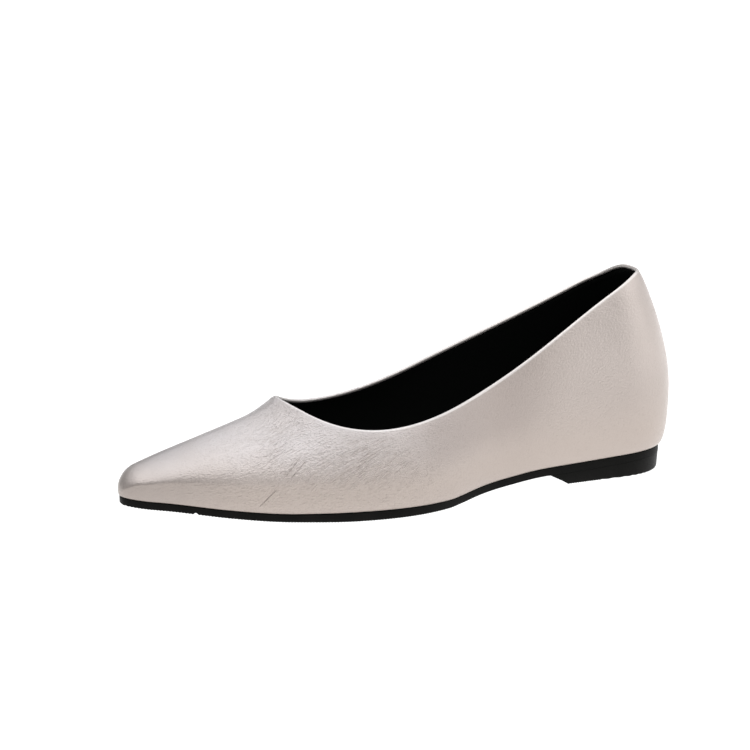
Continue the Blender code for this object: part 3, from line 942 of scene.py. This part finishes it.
class Nodes:
    """Short way to write a node tree."""

    def __init__(self, tree):
        self.tree = tree

    def put(self, value, socket):
        """Link an output into a socket, or set the socket to a value."""
        if isinstance(value, bpy.types.NodeSocket):
            self.tree.links.new(value, socket)
        else:
            socket.default_value = value

    def add(self, kind, output=0, settings=None, **inputs):
        """Node with its inputs set or linked; gives one of its outputs."""
        node = self.tree.nodes.new(kind)
        for key, value in (settings or {}).items():
            setattr(node, key, value)
        for key, value in inputs.items():
            numbered = key[0] == "i" and key[1:].isdigit()
            self.put(value, node.inputs[int(key[1:]) if numbered else key])
        return node.outputs[output]

    def math(self, operation, a, b=0.0, clamp=False):
        """Sum of two values, or another operation on them."""
        return self.add("ShaderNodeMath", settings={"operation": operation, "use_clamp": clamp}, i0=a, i1=b)

    def product(self, *values):
        """Product of some values, from the left."""
        total = values[0]
        for value in values[1:]:
            total = self.math("MULTIPLY", total, value)
        return total

    def dot(self, vector, way):
        """How far a vector reaches along a direction."""
        settings = {"operation": "DOT_PRODUCT"}
        return self.add("ShaderNodeVectorMath", output=1, settings=settings, i0=vector, i1=way)

    def parts(self, vector):
        """The three values of a vector."""
        node = self.tree.nodes.new("ShaderNodeSeparateXYZ")
        self.put(vector, node.inputs[0])
        return node.outputs

    def turned(self, vector, angle, stretch):
        """Map whose pattern is stretched along a direction given in degrees."""
        turn, scale = (0, 0, math.radians(angle)), (stretch, 1, 1)
        settings = {"vector_type": "TEXTURE"}
        return self.add("ShaderNodeMapping", settings=settings, i0=vector, i2=turn, i3=scale)

    def span(self, value, low, high, to_low=0.0, to_high=1.0):
        """Soft step of a value between two limits."""
        settings = {"interpolation_type": "SMOOTHSTEP"}
        limits = {"i1": low, "i2": high, "i3": to_low, "i4": to_high}
        return self.add("ShaderNodeMapRange", settings=settings, i0=value, **limits)

    def mix(self, share, a, b):
        """Blend of two colours."""
        settings = {"data_type": "RGBA"}
        return self.add("ShaderNodeMix", output=2, settings=settings, i0=share, i6=a, i7=b)

    def noise(self, vector, scale, detail=2.0, roughness=0.5):
        """Value of a cloudy noise."""
        return self.add("ShaderNodeTexNoise", Vector=vector, Scale=scale, Detail=detail, Roughness=roughness)

    def bump(self, height, distance, strength=1.0, below=None):
        """Surface direction changed by a height."""
        inputs = {"Height": height, "Distance": distance, "Strength": strength}
        if below is not None:
            inputs["Normal"] = below
        return self.add("ShaderNodeBump", **inputs)

    def line(self, over, start, end, width):
        """Soft mark along a straight run between two points of a flat map."""
        length = math.dist(start, end)
        way = ((end[0] - start[0]) / length, (end[1] - start[1]) / length, 0)
        along = self.dot(over, way)
        across = self.dot(over, (way[1], -way[0], 0))
        first = start[0] * way[0] + start[1] * way[1]
        middle = start[0] * way[1] - start[1] * way[0]
        beside = self.math("ABSOLUTE", self.math("SUBTRACT", across, middle))
        ends = [[first + share * length for share in shares] for shares in LINE_ENDS]
        begun, ended = (self.span(along, low, high) for low, high in ends)
        return self.product(self.span(beside, width, 0.0), self.product(begun, ended))


class Material(Nodes):
    """Node tree of a new material."""

    def __init__(self, name):
        self.made = bpy.data.materials.new(name)
        self.made.use_nodes = True
        super().__init__(self.made.node_tree)
        self.shader = self.tree.nodes["Principled BSDF"]

    def surface(self, **inputs):
        """Sockets of the shader itself."""
        for key, value in inputs.items():
            self.put(value, self.shader.inputs[key.replace("_", " ")])
        return self.made


def pearl_with_painted_highlight(n, station, girth, up, patch):
    """Warm pearl tone of the leather with a duller random patch, and a painted cool highlight on up-facing,
    higher and forward parts, before its marks.
    """
    # Painted highlight: the cool tint grows where the surface faces up, and with height and station
    high = n.math("ADD", n.product(up, 0.75), n.span(girth, *COOL_LOW, 0.0, 0.5))
    forward = n.span(station, *COOL_BACK, 0.25, 0.75)
    tone = n.mix(n.math("MULTIPLY", high, forward, clamp=True), WARM_PEARL, PAINTED_COOL_HIGHLIGHT)
    return n.mix(n.span(patch, 0.3, 0.7, 0.0, 0.5), tone, n.mix(0.5, tone, DULL_PEARL))


def painted_light_and_shade(n, shade, station, girth):
    """Painted shade on the toe and over the quarter, and painted light on the heel below the collar."""
    shade = n.mix(n.span(station, *TOE_BACK, 0.0, 0.34), shade, PAINTED_TOE_SHADE)
    quarter = n.product(n.span(station, *QUARTER_BACK), n.span(station, *QUARTER_FRONT))
    quarter = n.product(quarter, n.span(girth, *QUARTER_LOW, 0.1, 0.38))
    shade = n.mix(quarter, shade, PAINTED_SHADE)
    heel = n.product(n.span(station, *HEEL_FRONT), n.span(girth, *HEEL_LOW, 0.0, 0.22))
    return n.mix(heel, shade, PAINTED_HEEL_LIGHT)


def pearl_leather():
    """Champagne leather with a pearl top coat, a fine milled grain and flex wrinkles."""
    n = Material("pearl_leather")
    at = n.add("ShaderNodeAttribute", output=1, settings={"attribute_name": "skin_at"})
    station, girth, below_edge = n.parts(at)
    where = n.add("ShaderNodeNewGeometry", output=0)
    up = n.parts(n.add("ShaderNodeNewGeometry", output=1))[2]
    over = n.add("ShaderNodeCombineXYZ", i0=station, i1=girth, i2=n.parts(where)[0])

    wrinkle = n.noise(n.turned(over, WRINKLE_ANGLE, WRINKLE_STRETCH), 1 / WRINKLE_SIZE, 2.0, 0.55)
    turned = n.turned(over, GRAIN_ANGLE, GRAIN_STRETCH)
    milled = n.noise(turned, 1 / GRAIN_SIZE, 3.0, 0.6)
    smooth_cells = {"feature": "SMOOTH_F1"}
    pebble = n.add("ShaderNodeTexVoronoi", settings=smooth_cells, Vector=turned, Scale=1 / PEBBLE_SIZE)
    mixed = n.math("ADD", milled, n.product(pebble, -0.5))
    patch = n.noise(where, 1 / PATCH_SIZE, 2.0)
    flex = n.product(
        n.span(station, *FLEX_BACK), n.span(station, *FLEX_FRONT), n.span(girth, *FLEX_LOW),
        n.span(patch, 0.36, 0.6, 0.25, 1.0), n.span(girth, *FLEX_HIGH, 1.0, 0.35),
    )
    vamp = n.product(n.span(station, *GRAIN_BACK), n.span(station, *GRAIN_FRONT))
    grain = n.math("ADD", n.product(vamp, 0.65), 0.35)
    lines = 0.0
    for s1, g1, s2, g2, width in zip(*(FINE_LINES[name] * MM for name in FINE_LINES)):
        lines = n.math("ADD", lines, n.line(over, (s1, g1), (s2, g2), width))
    bumped = n.bump(n.product(wrinkle, flex), WRINKLE_DEPTH)
    bumped = n.bump(n.product(mixed, grain), GRAIN_DEPTH, below=bumped)
    bumped = n.bump(lines, -LINE_DEPTH, below=bumped)

    # Painted shade: darker colour in the wrinkles' troughs, the grain's hollows and the fine crease lines
    folded = n.product(n.span(wrinkle, 0.5, 0.36, 0.0, 0.8), flex)
    pore_shade = n.product(n.span(mixed, 0.28, 0.08, 0.0, 0.4), grain)
    dark = n.math("ADD", n.math("ADD", folded, pore_shade), lines, clamp=True)
    shade = pearl_with_painted_highlight(n, station, girth, up, patch)
    shade = n.mix(dark, shade, n.mix(0.42, shade, PAINTED_SHADE))
    # Painted shade on the toe and the quarter, painted light on the heel
    shade = painted_light_and_shade(n, shade, station, girth)
    # Painted highlight along the folded topline edge
    shade = n.mix(n.span(below_edge, *EDGE_HIGHLIGHT_BELOW, 0.5, 0.0), shade, PAINTED_EDGE_HIGHLIGHT)
    # Dark line at the feather joint: partly a dark edge of the leather, partly painted shade in the joint
    colour = n.mix(n.span(girth, *JOINT_LINE_ABOVE, 0.85, 0.0), shade, JOINT_EDGE_AND_SHADE)
    rough = n.span(n.noise(where, 1 / GLOSS_SIZE, 2.0), 0.3, 0.7, 0.31, 0.38)
    return n.surface(
        Base_Color=colour, Roughness=rough, Metallic=0.45, Normal=bumped,
        Coat_Weight=0.12, Coat_Roughness=0.35, Sheen_Weight=0.08, Sheen_Roughness=0.4,
    )


def black_lining():
    """Matte black lining leather."""
    n = Material("black_lining")
    where = n.add("ShaderNodeNewGeometry", output=0)
    grain = n.noise(where, 1 / (0.6 * MM), 3.0)
    return n.surface(
        Base_Color=(0.002, 0.0025, 0.002, 1), Roughness=n.span(grain, 0.3, 0.7, 0.68, 0.8),
        Normal=n.bump(grain, 0.03 * MM), Specular_IOR_Level=0.08,
    )


def black_sock():
    """Footbed cover, a little worn and lighter than the lining."""
    n = Material("black_sock")
    where = n.add("ShaderNodeNewGeometry", output=0)
    grain = n.noise(where, 1 / (0.8 * MM), 3.0)
    worn = n.noise(where, 1 / (18 * MM), 2.0)
    new, rubbed = (0.004, 0.004, 0.004, 1), (0.008, 0.008, 0.008, 1)
    return n.surface(
        Base_Color=n.mix(n.span(worn, 0.4, 0.7), new, rubbed),
        Roughness=n.span(grain, 0.3, 0.7, 0.6, 0.72),
        Normal=n.bump(grain, 0.04 * MM), Specular_IOR_Level=0.15,
    )


def black_rubber(name, roughness):
    """Black rubber with a faint moulded texture."""
    n = Material(name)
    where = n.add("ShaderNodeNewGeometry", output=0)
    grain = n.noise(where, 1 / (0.5 * MM), 3.0)
    dust = n.noise(where, 1 / (9 * MM), 3.0)
    clean, dusty = (0.0035, 0.0035, 0.003, 1), (0.006, 0.0055, 0.005, 1)
    return n.surface(
        Base_Color=n.mix(n.span(dust, 0.4, 0.75), clean, dusty),
        Roughness=n.span(grain, 0.3, 0.7, roughness - 0.06, roughness + 0.06),
        Normal=n.bump(grain, 0.03 * MM), Specular_IOR_Level=0.07,
    )


def studio_floor():
    """White floor that turns dark on the near side and to the left, outside the picture."""
    data = bpy.data.meshes.new("floor")
    corners = [(x * FLOOR_SIZE, y * FLOOR_SIZE, 0) for x, y in ((-1, -1), (1, -1), (1, 1), (-1, 1))]
    data.from_pydata(corners, [], [(0, 1, 2, 3)])
    floor = bpy.data.objects.new("floor", data)
    bpy.context.scene.collection.objects.link(floor)
    n = Material("white_floor")
    azimuth = math.radians(VIEW_AZIMUTH)
    where = n.add("ShaderNodeNewGeometry", output=0)
    ahead = n.dot(where, (math.sin(azimuth), -math.cos(azimuth), 0))
    aside = n.dot(where, (math.cos(azimuth), math.sin(azimuth), 0))
    left = n.math("DIVIDE", aside, n.math("SUBTRACT", ahead, VIEW_DISTANCE))
    lit = n.product(n.span(ahead, *FLOOR_FADE, 1.0, 0.0), n.span(left, *LEFT_FADE, 1.0, 0.0))
    glow = n.math("ADD", n.product(lit, FLOOR_GLOW - FLOOR_DARK), FLOOR_DARK)
    glowing = n.surface(
        Base_Color=(0.1, 0.1, 0.1, 1), Roughness=0.9, Specular_IOR_Level=0.0,
        Emission_Color=(1, 1, 1, 1), Emission_Strength=glow,
    )
    data.materials.append(glowing)


def softbox(name, location, target, width, height, power):
    """Rectangular soft light aimed at a point."""
    light = bpy.data.lights.new(name, "AREA")
    light.shape = "RECTANGLE"
    light.size, light.size_y = width, height
    light.energy = power
    lamp = bpy.data.objects.new(name, light)
    bpy.context.scene.collection.objects.link(lamp)
    lamp.location = location
    lamp.rotation_euler = (Vector(target) - Vector(location)).to_track_quat("-Z", "Y").to_euler()


def studio_light():
    """Broad overhead light, a weak fill on the heel and a room that is dark at the horizon."""
    softbox("overhead", (0.1, -0.35, 1.3), target=(0, 0, 0), width=1.6, height=1.6, power=8)
    softbox("rear", (1.2, 1.1, 0.5), target=(0, 0.06, 0.04), width=1.1, height=0.8, power=2)
    world = bpy.data.worlds.new("room")
    bpy.context.scene.world = world
    world.use_nodes = True
    n = Nodes(world.node_tree)
    way = n.add("ShaderNodeTexCoord")
    height = n.span(n.parts(way)[2], HORIZON_TOP, CEILING_FROM, HORIZON_GLOW, CEILING_GLOW)
    rear = n.span(n.dot(way, REAR_WAY), *REAR_FADE, 0, REAR_GLOW)
    room = world.node_tree.nodes["Background"]
    n.put(n.math("ADD", height, rear), room.inputs["Strength"])
    n.put((1, 1, 1, 1), room.inputs["Color"])


def picture_camera():
    """Camera at the photo's angle to the shoe."""
    angles = VIEW_AZIMUTH, VIEW_ELEVATION, VIEW_ROLL
    azimuth, elevation, roll = (math.radians(angle) for angle in angles)
    flat = math.cos(elevation)
    back = Vector((math.sin(azimuth) * flat, -math.cos(azimuth) * flat, math.sin(elevation)))
    right = Vector((math.cos(azimuth), math.sin(azimuth), 0))
    up = back.cross(right)
    rolled_right = right * math.cos(roll) + up * math.sin(roll)
    rolled_up = up * math.cos(roll) - right * math.sin(roll)
    lens = bpy.data.cameras.new("camera")
    lens.sensor_width = SENSOR
    lens.lens = FOCAL_PIXELS / PICTURE * SENSOR
    lens.shift_x = (PICTURE / 2 - CENTRE_X) / PICTURE
    lens.shift_y = (CENTRE_Y - PICTURE / 2) / PICTURE
    camera = bpy.data.objects.new("camera", lens)
    bpy.context.scene.collection.objects.link(camera)
    place_at = Vector((SIDEWAYS, 0, AIM_HEIGHT)) + back * VIEW_DISTANCE
    axes = Matrix((rolled_right, rolled_up, back)).transposed().to_4x4()
    camera.matrix_world = Matrix.Translation(place_at) @ axes
    bpy.context.scene.camera = camera


build_upper(pearl_leather())
build_lining(black_lining())
build_footbed(black_sock())
build_outsole(black_rubber("sole_rubber", 0.5))
build_heel_block(black_rubber("heel_rubber", 0.42))
studio_floor()
studio_light()
picture_camera()
bpy.context.scene.view_settings.view_transform = "Standard"
